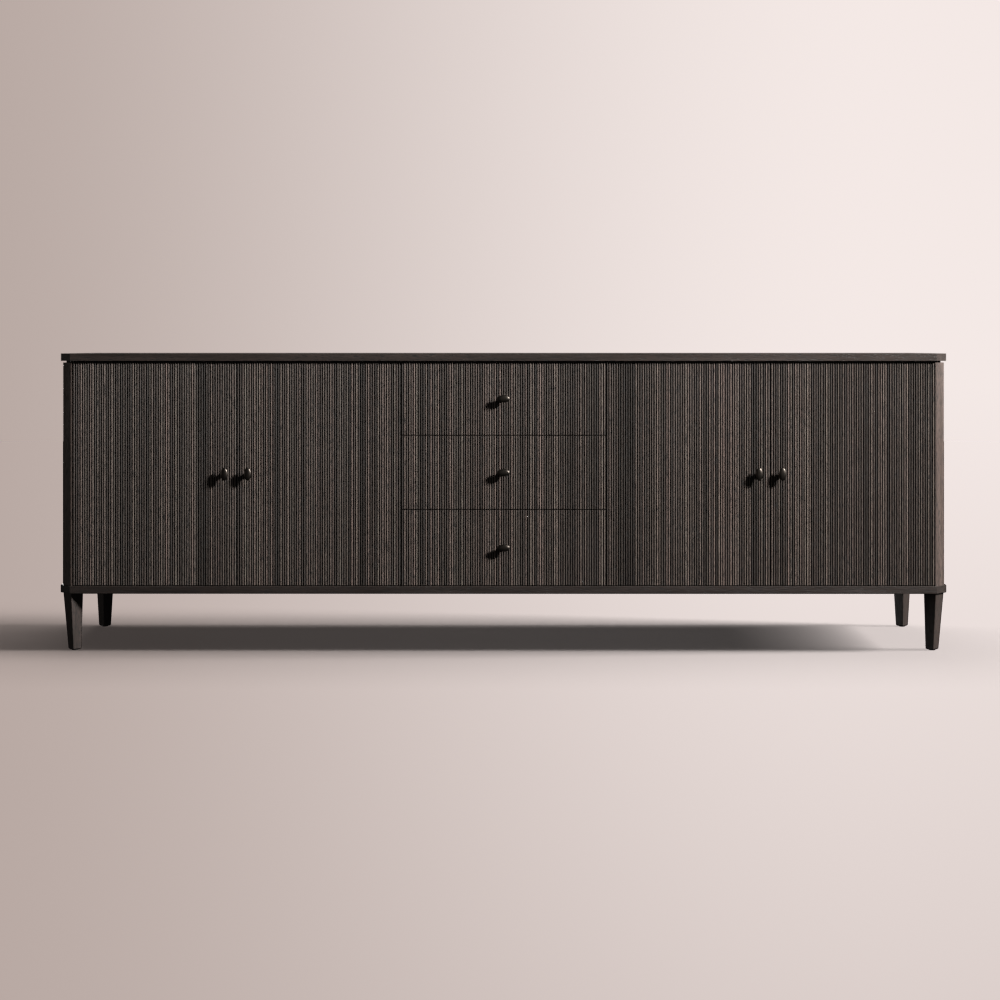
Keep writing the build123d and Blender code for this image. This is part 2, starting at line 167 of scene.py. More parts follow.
class Studio(bpy.types.PropertyGroup):
    """Camera, lights, floor and backdrop"""

    camera_away: length("Camera distance", "Camera to the front of the sideboard", 5.209)
    camera_height: length("Camera height", "Height of the camera above the floor", 0.835)
    camera_turn: FloatProperty(
        name="Camera turn", description="Turn to the right", default=math.radians(-0.10), subtype="ANGLE"
    )
    lens: FloatProperty(name="Lens", description="Focal length", default=68.45, min=1.0)
    shift: FloatProperty(name="Shift", description="Vertical shift of the lens", default=-0.1531)
    floor_radius: length("Floor radius", "Radius of the floor", 12.0)
    paper: colour("Floor", "Colour of the pale floor", (0.84, 0.74, 0.70))
    # the backdrop's two colours paint the key light's falloff across it
    drop_dim: colour("Backdrop, dim side", "Backdrop away from the key light", (0.47, 0.386, 0.355))
    drop_bright: colour("Backdrop, bright side", "Backdrop beside the key light", (0.905, 0.815, 0.79))
    room: colour("Room light", "Colour of the soft light from the room", (1.0, 0.95, 0.92))
    room_strength: power("Room strength", "Strength of the room light", 0.022)
    key_away: length("Key distance", "Distance of the key light", 6.0)
    key_size: length("Key size", "Side of the key light", 0.7)
    key_power: power("Key power", "Power of the key light", 900.0)
    front_power: power("Front fill", "Power of the weak broad light in front", 4.0)
    left_power: power("Left fill", "Power of the weak light from the left", 8.0)
    back_power: power("Back power", "Power of the light behind, on the left", 320.0)
    floor_key_power: power("Floor key", "Power of the side light on the floor", 2300.0)
    leg_shadow: share("Leg shadows", "Depth of the legs' shadows, next to the case's", 0.3)
    floor_fill_power: power("Floor fill", "Power of the soft light over the floor, from behind", 52.0)
    floor_lift_power: power("Floor lift", "Power of the light that softens the depth of the shadow", 52.0)


# ------------------------------------------------------------------ node helpers


def add_node(tree, kind, **values):
    """A new node with some of its own values set."""
    made = tree.nodes.new(kind)
    for name, value in values.items():
        setattr(made, name, value)
    return made


def feed(tree, socket, value):
    """Sets a socket to a number or colour, or links it to an output."""
    if isinstance(value, bpy.types.NodeSocket):
        tree.links.new(value, socket)
    elif isinstance(value, (tuple, list)) and socket.type == "RGBA" and len(value) == 3:
        socket.default_value = (*value, 1.0)
    else:
        socket.default_value = value


def maths(tree, operation, first, second=None, clamp=False):
    """A Math node's output."""
    made = add_node(tree, "ShaderNodeMath", operation=operation, use_clamp=clamp)
    feed(tree, made.inputs[0], first)
    if second is not None:
        feed(tree, made.inputs[1], second)
    return made.outputs[0]


def remap(tree, value, low, high, to_low=0.0, to_high=1.0):
    """A clamped linear change of range."""
    made = add_node(tree, "ShaderNodeMapRange")
    for socket, given in zip(made.inputs, (value, low, high, to_low, to_high)):
        feed(tree, socket, given)
    return made.outputs["Result"]


def mixed(tree, amount, first, second, blend="MIX"):
    """A colour mix."""
    made = add_node(tree, "ShaderNodeMix", data_type="RGBA", blend_type=blend)
    feed(tree, made.inputs["Factor"], amount)
    feed(tree, made.inputs[6], first)
    feed(tree, made.inputs[7], second)
    return made.outputs[2]


def stretched_noise(tree, vector, stretch, scale, detail, roughness=0.55):
    """Noise drawn out along an axis."""
    drawn = add_node(tree, "ShaderNodeVectorMath", operation="MULTIPLY")
    feed(tree, drawn.inputs[0], vector)
    drawn.inputs[1].default_value = stretch
    noise = add_node(tree, "ShaderNodeTexNoise")
    feed(tree, noise.inputs["Vector"], drawn.outputs[0])
    feed(tree, noise.inputs["Scale"], scale)
    noise.inputs["Detail"].default_value = detail
    noise.inputs["Roughness"].default_value = roughness
    return noise.outputs["Fac"]


def new_group(name, inputs, outputs):
    """An empty shader node group with named sockets: its tree, input node and output node."""
    group = bpy.data.node_groups.new(name, "ShaderNodeTree")
    for socket, kind, default in inputs:
        made = group.interface.new_socket(name=socket, in_out="INPUT", socket_type=kind)
        if default is not None:
            made.default_value = default
    for socket, kind in outputs:
        group.interface.new_socket(name=socket, in_out="OUTPUT", socket_type=kind)
    return group, group.nodes.new("NodeGroupInput"), group.nodes.new("NodeGroupOutput")


def place_group(tree, name, **values):
    """A node group placed in a material, with underscores in the names of its inputs for spaces."""
    made = add_node(tree, "ShaderNodeGroup", node_tree=bpy.data.node_groups[name])
    for socket, value in values.items():
        feed(tree, made.inputs[socket.replace("_", " ")], value)
    return made


# ------------------------------------------------------------------ shared effects

GRAIN_GROUP = "Oak grain"
WEAR_GROUP = "Edge wear"
HANDLING_GROUP = "Handling marks"
ALONG = (1.0, 1.0, 0.035)  # noise is drawn out along Z, which is the run of the grain


def make_grain_group():
    """Bands, streaks, fibres and open pores of brushed oak, with the grain along Z of the given vector."""
    number = "NodeSocketFloat"
    group, given, out = new_group(
        GRAIN_GROUP,
        [("Vector", "NodeSocketVector", None), ("Figure", number, 55.0), ("Pore size", number, 1.0)],
        [("Bands", number), ("Streaks", number), ("Pores", number), ("Height", number)],
    )
    vector = given.outputs["Vector"]
    # the grain bows gently along its length
    bow = stretched_noise(group, vector, (1.0, 1.0, 0.6), 3.0, 1.0)
    bowed = add_node(group, "ShaderNodeVectorMath", operation="MULTIPLY_ADD")
    feed(group, bowed.inputs[0], bow)
    bowed.inputs[1].default_value = (0.035, 0.035, 0.0)
    feed(group, bowed.inputs[2], vector)
    run = bowed.outputs[0]
    bands = stretched_noise(group, run, ALONG, given.outputs["Figure"], 5.0, 0.6)
    streak_scale = maths(group, "MULTIPLY", given.outputs["Figure"], 5.5)
    streaks = stretched_noise(group, run, (1.0, 1.0, 0.055), streak_scale, 4.0, 0.65)
    fibre_scale = maths(group, "MULTIPLY", given.outputs["Figure"], 22.0)
    fibres = stretched_noise(group, run, (1.0, 1.0, 0.03), fibre_scale, 2.0)
    pore_scale = maths(group, "DIVIDE", 620.0, given.outputs["Pore size"])
    pore_field = stretched_noise(group, run, (1.0, 1.0, 0.09), pore_scale, 1.0)
    crowd = remap(group, bands, 0.35, 0.65, 0.0, 0.07)
    pores = remap(group, maths(group, "ADD", pore_field, crowd), 0.58, 0.68)
    relief = maths(group, "MULTIPLY_ADD", fibres, 0.5)
    relief.node.inputs[2].default_value = 0.3
    height = maths(group, "SUBTRACT", relief, maths(group, "MULTIPLY", pores, 0.55))
    feed(group, out.inputs["Bands"], remap(group, bands, 0.32, 0.68))
    feed(group, out.inputs["Streaks"], remap(group, streaks, 0.36, 0.66))
    feed(group, out.inputs["Pores"], pores)
    feed(group, out.inputs["Height"], height)


def make_wear_group():
    """A mask of the outer edges, broken up so that it isn't even."""
    number = "NodeSocketFloat"
    group, given, out = new_group(
        WEAR_GROUP,
        [("Vector", "NodeSocketVector", None), ("Width", number, 0.0015), ("Amount", number, 0.5)],
        [("Mask", number)],
    )
    bevel = add_node(group, "ShaderNodeBevel", samples=4)
    feed(group, bevel.inputs["Radius"], given.outputs["Width"])
    flat = add_node(group, "ShaderNodeNewGeometry")
    turn = add_node(group, "ShaderNodeVectorMath", operation="DOT_PRODUCT")
    feed(group, turn.inputs[0], bevel.outputs["Normal"])
    feed(group, turn.inputs[1], flat.outputs["Normal"])
    edge = remap(group, turn.outputs["Value"], 0.995, 0.86)
    broken = stretched_noise(group, given.outputs["Vector"], (1.0, 1.0, 1.0), 38.0, 4.0, 0.7)
    patchy = remap(group, broken, 0.38, 0.66)
    mask = maths(group, "MULTIPLY", edge, patchy)
    feed(group, out.inputs["Mask"], maths(group, "MULTIPLY", mask, given.outputs["Amount"], clamp=True))


def make_handling_group():
    """Broad, faint differences in gloss, left by polishing and hands."""
    number = "NodeSocketFloat"
    group, given, out = new_group(
        HANDLING_GROUP,
        [("Vector", "NodeSocketVector", None), ("Base", number, 0.5), ("Spread", number, 0.1)],
        [("Roughness", number)],
    )
    broad = stretched_noise(group, given.outputs["Vector"], (1.0, 1.0, 1.0), 7.0, 5.0, 0.6)
    centred = maths(group, "SUBTRACT", broad, 0.5)
    spread = maths(group, "MULTIPLY", centred, given.outputs["Spread"])
    feed(group, out.inputs["Roughness"], maths(group, "ADD", given.outputs["Base"], spread, clamp=True))


# ------------------------------------------------------------------ materials


def new_material(name):
    """A material with an empty tree: the material, its tree, its shader and its object coordinates."""
    material = bpy.data.materials.new(name)
    material.use_nodes = True
    tree = material.node_tree
    shader = tree.nodes["Principled BSDF"]
    where = add_node(tree, "ShaderNodeTexCoord").outputs["Object"]
    return material, tree, shader, where


def bump(tree, shader, height, strength, distance):
    """Relief from a height, into the shader's normal."""
    made = add_node(tree, "ShaderNodeBump")
    made.inputs["Strength"].default_value = strength
    made.inputs["Distance"].default_value = distance
    feed(tree, made.inputs["Height"], height)
    feed(tree, shader.inputs["Normal"], made.outputs["Normal"])


def turned(tree, where, along, shift=0.0):
    """Coordinates with the grain's axis turned to lie along Z, and shifted to another part of the log."""
    spin = {"X": (0.0, math.radians(90), 0.0), "Y": (math.radians(90), 0.0, 0.0), "Z": (0.0, 0.0, 0.0)}[along]
    made = add_node(tree, "ShaderNodeMapping")
    feed(tree, made.inputs["Vector"], where)
    made.inputs["Rotation"].default_value = spin
    made.inputs["Location"].default_value = (shift, shift * 1.7, shift * 0.6)
    return made.outputs[0]


def stained_oak(name, along, shift=0.0, lighter=1.0):
    """Charcoal stained, wire brushed oak with satin lacquer and rubbed edges, its stain scaled lighter or
    darker per piece as painted light or painted shade.
    """
    finish = bpy.context.scene.sideboard_oak
    # the stain is scaled to paint the light or shade that the piece gets
    dark, light, warm = (
        tuple(channel * lighter for channel in tone)
        for tone in (finish.stain_dark, finish.stain_light, finish.stain_warm)
    )
    material, tree, shader, where = new_material(name)
    log = turned(tree, where, along, shift)
    grain = place_group(tree, GRAIN_GROUP, Vector=log, Figure=finish.figure)
    wear = place_group(tree, WEAR_GROUP, Vector=where, Amount=finish.wear)
    gloss = place_group(tree, HANDLING_GROUP, Vector=where, Base=finish.roughness, Spread=0.22)
    stain = mixed(tree, grain.outputs["Bands"], dark, light)
    streaked = mixed(tree, maths(tree, "MULTIPLY", grain.outputs["Streaks"], 0.55), stain, warm)
    pored = mixed(tree, maths(tree, "MULTIPLY", grain.outputs["Pores"], 0.85), streaked, tuple(finish.pore_and_painted_shade))
    worn = mixed(tree, wear.outputs["Mask"], pored, tuple(finish.worn))
    feed(tree, shader.inputs["Base Color"], worn)
    rough = maths(tree, "MULTIPLY_ADD", grain.outputs["Pores"], 0.25)
    feed(tree, rough.node.inputs[2], gloss.outputs["Roughness"])
    feed(tree, shader.inputs["Roughness"], rough)
    bump(tree, shader, grain.outputs["Height"], 0.55, 0.0006)
    return material


def reeded_oak(name, shift):
    """The same oak on the reeds: each has its own tone, crests are rubbed, and the grooves and lower flanks
    are painted near black, as painted shade on top of the stain they hold.
    """
    finish = bpy.context.scene.sideboard_oak
    material, tree, shader, where = new_material(name)
    log = turned(tree, where, "Z", shift)
    grain = place_group(tree, GRAIN_GROUP, Vector=log, Figure=finish.figure * 1.6)
    gloss = place_group(tree, HANDLING_GROUP, Vector=where, Base=finish.roughness, Spread=0.2)
    tone = add_node(tree, "ShaderNodeAttribute", attribute_name="reed_tone").outputs["Fac"]
    warmth = add_node(tree, "ShaderNodeAttribute", attribute_name="reed_warmth").outputs["Fac"]
    crest = add_node(tree, "ShaderNodeAttribute", attribute_name="crest").outputs["Fac"]
    lightness = maths(tree, "MULTIPLY_ADD", grain.outputs["Bands"], 0.45)
    feed(tree, lightness.node.inputs[2], maths(tree, "MULTIPLY", tone, 0.5))
    stain = mixed(tree, lightness, tuple(finish.stain_dark), tuple(finish.stain_light))
    hue = mixed(tree, warmth, tuple(finish.stain_cool), tuple(finish.stain_warm))
    streaked = mixed(tree, maths(tree, "MULTIPLY", grain.outputs["Streaks"], tone), stain, hue)
    pored = mixed(tree, maths(tree, "MULTIPLY", grain.outputs["Pores"], 0.9), streaked, tuple(finish.pore_and_painted_shade))
    # painted shade: the grooves and lower flanks are darkened toward near black, along with the stain they
    # hold
    groove_painted_shade = mixed(tree, remap(tree, crest, 0.80, 0.25, 0.0, 0.98), pored, tuple(finish.pore_and_painted_shade))
    rubbed = maths(tree, "MULTIPLY", remap(tree, crest, 0.80, 1.0), grain.outputs["Streaks"])
    worn = mixed(tree, maths(tree, "MULTIPLY", rubbed, finish.wear), groove_painted_shade, tuple(finish.worn))
    varied = add_node(tree, "ShaderNodeVectorMath", operation="SCALE")
    feed(tree, varied.inputs[0], worn)
    feed(tree, varied.inputs["Scale"], remap(tree, tone, 0.0, 1.0, 0.75, 2.25))
    # the sawn ends of the reeds take more stain, and are painted near black as painted shade in the seams
    # between the fronts
    parts = add_node(tree, "ShaderNodeSeparateXYZ")
    feed(tree, parts.inputs[0], add_node(tree, "ShaderNodeNewGeometry").outputs["Normal"])
    ends = remap(tree, maths(tree, "ABSOLUTE", parts.outputs["Z"]), 0.6, 0.85)
    feed(tree, shader.inputs["Base Color"], mixed(tree, ends, varied.outputs[0], tuple(finish.pore_and_painted_shade)))
    rough = maths(tree, "MULTIPLY_ADD", grain.outputs["Pores"], 0.25)
    feed(tree, rough.node.inputs[2], gloss.outputs["Roughness"])
    feed(tree, shader.inputs["Roughness"], rough)
    bump(tree, shader, grain.outputs["Height"], 0.5, 0.0005)
    return material


def plain_wood(name, along, dark, light, roughness, shift=0.0, figure=40.0):
    """Smooth lacquered wood of the inside: grain without the brushing."""
    material, tree, shader, where = new_material(name)
    log = turned(tree, where, along, shift)
    grain = place_group(tree, GRAIN_GROUP, Vector=log, Figure=figure, Pore_size=0.8)
    wear = place_group(tree, WEAR_GROUP, Vector=where, Width=0.001, Amount=0.25)
    gloss = place_group(tree, HANDLING_GROUP, Vector=where, Base=roughness, Spread=0.15)
    tone = maths(tree, "MULTIPLY_ADD", grain.outputs["Streaks"], 0.35)
    feed(tree, tone.node.inputs[2], maths(tree, "MULTIPLY", grain.outputs["Bands"], 0.65))
    base = mixed(tree, tone, tuple(dark), tuple(light))
    deep = tuple(channel * 0.55 for channel in dark)
    pored = mixed(tree, maths(tree, "MULTIPLY", grain.outputs["Pores"], 0.5), base, deep)
    pale = tuple(min(1.0, channel * 1.5) for channel in light)
    feed(tree, shader.inputs["Base Color"], mixed(tree, wear.outputs["Mask"], pored, pale))
    feed(tree, shader.inputs["Roughness"], gloss.outputs["Roughness"])
    bump(tree, shader, grain.outputs["Height"], 0.2, 0.0003)
    return material


def metal(name, base, roughness, rubbed=None, brushed=(1.0, 1.0, 1.0)):
    """Metal with faint brushing, and rubbed brighter along its edges."""
    material, tree, shader, where = new_material(name)
    shader.inputs["Metallic"].default_value = 1.0
    lines = stretched_noise(tree, where, brushed, 900.0, 3.0)
    wear = place_group(tree, WEAR_GROUP, Vector=where, Width=0.0012, Amount=0.8)
    cloudy = stretched_noise(tree, where, (1.0, 1.0, 1.0), 90.0, 4.0, 0.6)
    dull = tuple(channel * 0.72 for channel in base)
    toned = mixed(tree, remap(tree, cloudy, 0.35, 0.65), dull, tuple(base))
    bright = tuple(rubbed) if rubbed else tuple(min(1.0, channel * 1.4) for channel in base)
    feed(tree, shader.inputs["Base Color"], mixed(tree, wear.outputs["Mask"], toned, bright))
    gloss = place_group(tree, HANDLING_GROUP, Vector=where, Base=roughness, Spread=0.2)
    feed(tree, shader.inputs["Roughness"], gloss.outputs["Roughness"])
    bump(tree, shader, lines, 0.12, 0.0001)
    return material


def plastic(name, base, roughness):
    """Moulded plastic with a fine grained skin."""
    material, tree, shader, where = new_material(name)
    fine = stretched_noise(tree, where, (1.0, 1.0, 1.0), 1500.0, 2.0)
    cloudy = stretched_noise(tree, where, (1.0, 1.0, 1.0), 60.0, 3.0)
    lighter = tuple(min(1.0, channel * 1.5 + 0.004) for channel in base)
    feed(tree, shader.inputs["Base Color"], mixed(tree, remap(tree, cloudy, 0.3, 0.7), tuple(base), lighter))
    gloss = place_group(tree, HANDLING_GROUP, Vector=where, Base=roughness, Spread=0.15)
    feed(tree, shader.inputs["Roughness"], gloss.outputs["Roughness"])
    bump(tree, shader, fine, 0.2, 0.0001)
    return material


# ------------------------------------------------------------------ mesh helpers


def dress(name, material, bevel=0.0):
    """Gives a CAD node its material, and softens its outer edges."""
    node = frame["nodes"][name]
    node.data.materials.clear()
    node.data.materials.append(material)
    if bevel:
        weld = node.modifiers.new("Join", "WELD")
        weld.merge_threshold = 0.01 * MM
        soft = node.modifiers.new("Soft edge", "BEVEL")
        soft.width = bevel
        soft.segments = 2
        soft.limit_method = "ANGLE"
        soft.angle_limit = math.radians(32)
        soft.harden_normals = True
    return node


def finished_piece(name, mesh, material, body, sharp=40):
    """A new piece from a mesh, riding on its body."""
    mesh.materials.append(material)
    mesh.shade_smooth()
    mesh.set_sharp_from_angle(angle=math.radians(sharp))
    piece = bpy.data.objects.new(name, mesh)
    bpy.context.scene.collection.objects.link(piece)
    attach(piece, body)
    return piece


def lathe(bm, profile, segments, stretch=(1.0, 1.0), cap=True):
    """Rings of points about Z from a list of (radius, height), stretched in X and Y."""
    rings = []
    for radius, height in profile:
        ring = []
        for step in range(segments):
            angle = 2 * math.pi * step / segments
            at = (radius * stretch[0] * math.cos(angle), radius * stretch[1] * math.sin(angle), height)
            ring.append(bm.verts.new(at))
        rings.append(ring)
    for lower, upper in zip(rings, rings[1:]):
        for step in range(segments):
            after = (step + 1) % segments
            bm.faces.new((lower[step], lower[after], upper[after], upper[step]))
    if cap:
        bm.faces.new(list(reversed(rings[0])))
        bm.faces.new(rings[-1])
    return rings


# ------------------------------------------------------------------ reeded fronts


def reeded_mesh(name, low, high, reeds, shape, seed):
    """A facing of half round reeds between two corners, each reed a little different from the next."""
    dice = random.Random(seed)
    pitch = (high.x - low.x) / reeds
    half = (pitch - shape.groove) / 2
    radius = (half * half + shape.height * shape.height) / (2 * shape.height)
    sweep = math.asin(min(1.0, half / radius))
    bottom_end, top_end = low.z + shape.ends, high.z - shape.ends
    rows = max(3, round((top_end - bottom_end) / shape.row))
    heights = [bottom_end + (top_end - bottom_end) * row / rows for row in range(rows + 1)]
    narrowest, widest = 0.86, 1.05  # as shares of the even width of a reed

    columns = []  # (x, rise above the groove, sideways drift, tone, warmth, crest)
    for reed in range(reeds):
        middle = low.x + (reed + 0.5) * pitch + dice.uniform(-1, 1) * shape.jitter
        spread = dice.uniform(narrowest, widest)
        tall = 1.0 - shape.uneven * dice.random() ** 2
        tone = dice.random()
        warmth = dice.random()
        drift = [dice.uniform(-1, 1) * shape.wander for _ in heights]
        still = [0.0 for _ in heights]
        columns.append((low.x + reed * pitch, 0.0, still, tone, warmth, 0.0))
        for step in range(shape.steps + 1):
            angle = sweep * (2 * step / shape.steps - 1)
            rise = (radius * math.cos(angle) - radius + shape.height) * tall
            crest = max(0.0, rise) / shape.height
            columns.append((middle + radius * math.sin(angle) * spread, rise, drift, tone, warmth, crest))
    columns.append((high.x, 0.0, still, tone, warmth, 0.0))

    bottom = low.y + shape.height
    bm = bmesh.new()
    layers = {layer: bm.verts.layers.float.new(layer) for layer in ("reed_tone", "reed_warmth", "crest")}
    front, back_low, back_high = [], [], []
    for x, rise, drift, tone, warmth, crest in columns:
        column = [bm.verts.new((x + sway, bottom - rise, z)) for sway, z in zip(drift, heights)]
        behind = [bm.verts.new((x, high.y, z)) for z in (bottom_end, top_end)]
        for vertex in column + behind:
            vertex[layers["reed_tone"]] = tone
            vertex[layers["reed_warmth"]] = warmth
            vertex[layers["crest"]] = crest
        front.append(column)
        back_low.append(behind[0])
        back_high.append(behind[1])
    for index in range(len(columns) - 1):
        here, there = front[index], front[index + 1]
        for row in range(rows):
            bm.faces.new((here[row], there[row], there[row + 1], here[row + 1]))
        bm.faces.new((here[rows], there[rows], back_high[index + 1], back_high[index]))
        bm.faces.new((there[0], here[0], back_low[index], back_low[index + 1]))
        bm.faces.new((back_low[index + 1], back_low[index], back_high[index], back_high[index + 1]))
    bm.faces.new([*reversed(front[0]), back_low[0], back_high[0]][::-1])
    bm.faces.new([*front[-1], back_high[-1], back_low[-1]][::-1])
    mesh = bpy.data.meshes.new(name)
    bm.to_mesh(mesh)
    bm.free()
    return mesh


class SIDEBOARD_OT_reeded_fronts(bpy.types.Operator):
    """Make the reeded facings of the doors and drawers"""

    bl_idname = "sideboard.reeded_fronts"
    bl_label = "Reeded fronts"

    def execute(self, context):
        shape = context.scene.sideboard_reeds
        # the drawers are cut from one panel, so that their reeds run on from one to the next
        drawer_oak = reeded_oak("reeded_oak_drawers", 2.9)
        for seed, node in enumerate(FRONTS):
            name = node.replace("facing", "reeding")
            if node.startswith("door"):
                mesh = reeded_mesh(name, *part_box(node), shape.door_reeds, shape, seed)
                material = reeded_oak(f"reeded_oak_{node}", 0.37 * seed)
            else:
                mesh = reeded_mesh(name, *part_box(node), shape.drawer_reeds, shape, len(FRONTS))
                material = drawer_oak
            piece = finished_piece(name, mesh, material, body_of_node(node), sharp=50)
            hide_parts(node)
        return {"FINISHED"}


# ------------------------------------------------------------------ knobs


def knob_mesh(name, low, high, shape):
    """An oval knob on a turned stem, with the socket headed screw that holds it from behind."""
    wide, tall = high.x - low.x, high.z - low.z
    centre = (low + high) / 2
    half_long, half_short = max(wide, tall) / 2, min(wide, tall) / 2
    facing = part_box("door_1_facing")[0].y
    reach = facing - low.y
    neck = reach - shape.head
    rim = shape.head * (1 - shape.crown)
    under_steps, face_steps = 4, 14
    fullness, tip = 0.9, 0.015  # the power that fills out the oval's section, and its smallest ring
    profile = []
    # underside of the head, from the stem out to the rim
    for step in range(under_steps + 1):
        turn = math.pi / 2 * step / under_steps
        profile.append((0.62 + 0.36 * math.sin(turn), neck + rim * 0.75 * (1 - math.cos(turn))))
    # crowned face, from the rim to the middle
    for step in range(face_steps + 1):
        turn = math.pi / 2 * step / face_steps
        out = max(0.0, math.cos(turn)) ** fullness
        rise = shape.head * shape.crown * math.sin(turn) ** fullness
        profile.append((max(out, tip), neck + rim + rise))
    bm = bmesh.new()
    lathe(bm, profile, 64, (half_long, half_short))
    stem = [
        (shape.foot_radius, 0.0),
        (shape.foot_radius, 1.1 * MM),
        (shape.foot_radius - 0.5 * MM, 1.6 * MM),
        (shape.stem_radius + 0.5 * MM, 2.2 * MM),
        (shape.stem_radius, 3.4 * MM),
        (shape.stem_radius * 0.96, neck * 0.6),
        (shape.stem_radius * 1.08, neck * 0.88),
        (shape.stem_radius * 1.3, neck + rim * 0.3),
    ]
    lathe(bm, stem, 40)
    # the head's length runs along X, and lies upright on the doors
    spin = Matrix.Rotation(math.radians(90), 4, "Z") if tall > wide else Matrix.Identity(4)
    forward = Matrix.Rotation(math.radians(90), 4, "X")
    place = Matrix.Translation((centre.x, facing, centre.z)) @ forward @ spin
    bmesh.ops.transform(bm, matrix=place, verts=bm.verts)
    screw_back = high.y
    head_radius, head_depth, recess = 4.0 * MM, 2.5 * MM, 1.4 * MM
    shank_radius, bite = 2.0 * MM, 4.0 * MM
    shank = screw_back - head_depth - facing + bite
    screw = [
        (shank_radius, -shank),
        (shank_radius, 0.0),
        (head_radius, 0.0),
        (head_radius, head_depth * 0.45),
        (head_radius * 0.82, head_depth * 0.85),
        (head_radius * 0.5, head_depth),
        (head_radius * 0.45, head_depth - recess),
    ]
    made = lathe(bm, screw, 24)
    behind = Matrix.Translation((centre.x, screw_back - head_depth, centre.z)) @ Matrix.Rotation(
        math.radians(-90), 4, "X"
    )
    bmesh.ops.transform(bm, matrix=behind, verts=[vertex for ring in made for vertex in ring])
    bmesh.ops.recalc_face_normals(bm, faces=bm.faces)
    mesh = bpy.data.meshes.new(name)
    bm.to_mesh(mesh)
    bm.free()
    return mesh


class SIDEBOARD_OT_knobs(bpy.types.Operator):
    """Make the oval bronze knobs"""

    bl_idname = "sideboard.knobs"
    bl_label = "Knobs"

    def execute(self, context):
        shape = context.scene.sideboard_knobs
        bronze = metal("blackened_bronze", shape.bronze, shape.roughness, shape.rubbed)
        for node in KNOBS:
            name = node.replace("knob", "oval_knob")
            mesh = knob_mesh(name, *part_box(node), shape)
            piece = finished_piece(name, mesh, bronze, body_of_node(node), sharp=48)
            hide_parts(node)
        return {"FINISHED"}


# ------------------------------------------------------------------ case, legs and inside


class SIDEBOARD_OT_case(bpy.types.Operator):
    """Finish the top, base, sides, posts and legs in stained oak, in lighter and darker copies that paint the
    light and shade on each piece
    """

    bl_idname = "sideboard.case"
    bl_label = "Case and legs"

    def execute(self, context):
        # the top, base and legs take darker copies of the oak as painted shade, and the posts and sides a
        # lighter copy as painted light
        dress("top_panel", stained_oak("oak_top_painted_shade", "X", shift=0.0, lighter=0.62))
        dress("base_board", stained_oak("oak_base_painted_shade", "X", shift=3.1, lighter=0.40))
        upright = stained_oak("oak_upright_painted_light", "Z", shift=5.7, lighter=1.2)
        tapered_leg = stained_oak("oak_leg", "Z", shift=8.3, lighter=0.56)
        for name in frame["nodes"]:
            if name.startswith(("post_", "side_")):
                dress(name, upright, bevel=0.4 * MM)
            elif name.startswith("leg_") and name not in ("leg_bolts", "leg_glides"):
                dress(name, tapered_leg)
        return {"FINISHED"}


class SIDEBOARD_OT_inside(bpy.types.Operator):
    """Finish the partitions, shelves, door backs and back boards"""

    bl_idname = "sideboard.inside"
    bl_label = "Inside of the case"

    def execute(self, context):
        finish = context.scene.sideboard_inside
        dark, light = finish.veneer_dark, finish.veneer_light
        upright = plain_wood("veneer_upright", "Z", dark, light, roughness=0.42, shift=2.2)
        level = plain_wood("veneer_level", "X", dark, light, roughness=0.42, shift=4.4)
        deep = [channel * 0.6 for channel in finish.back]
        thin = plain_wood("back_board", "Z", deep, finish.back, roughness=0.6, shift=7.9, figure=25.0)
        soot, ash = (0.004, 0.0036, 0.0033), (0.009, 0.008, 0.0075)
        black = plain_wood("spacer_black", "X", soot, ash, roughness=0.7)
        for name in frame["nodes"]:
            if name.startswith("partition") or name.endswith(("_core", "_front_board")):
                dress(name, upright, bevel=0.3 * MM)
            elif name in ("shelf_left", "shelf_right", "sub_top"):
                dress(name, level, bevel=0.5 * MM)
        for name in BACK_NAMES:
            dress(name, thin)
        dress("top_spacer", black)
        return {"FINISHED"}


class SIDEBOARD_OT_drawer_boxes(bpy.types.Operator):
    """Finish the drawer boxes in lacquered wood"""

    bl_idname = "sideboard.drawer_boxes"
    bl_label = "Drawer boxes"

    def execute(self, context):
        finish = context.scene.sideboard_inside
        dark, light = finish.drawer_dark, finish.drawer_light
        wood = plain_wood("drawer_wood", "Y", dark, light, roughness=0.38, shift=1.3)
        for name in frame["nodes"]:
            if name.endswith("_box"):
                dress(name, wood, bevel=0.6 * MM)
        return {"FINISHED"}


# ------------------------------------------------------------------ fittings


def back_screw_places(finish):
    """Centres of the screws along the upright and level edges of the back boards."""
    inset = 9 * MM
    places = []
    for name in BACK_NAMES:
        low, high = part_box(name)
        across = max(2, round((high.x - low.x) / finish.screw_spacing))
        up = max(2, round((high.z - low.z) / finish.screw_spacing))
        for step in range(across + 1):
            x = low.x + inset + (high.x - low.x - 2 * inset) * step / across
            places += [(x, high.y, low.z + inset), (x, high.y, high.z - inset)]
        for step in range(1, up):
            z = low.z + inset + (high.z - low.z - 2 * inset) * step / up
            places += [(low.x + inset, high.y, z), (high.x - inset, high.y, z)]
    return places


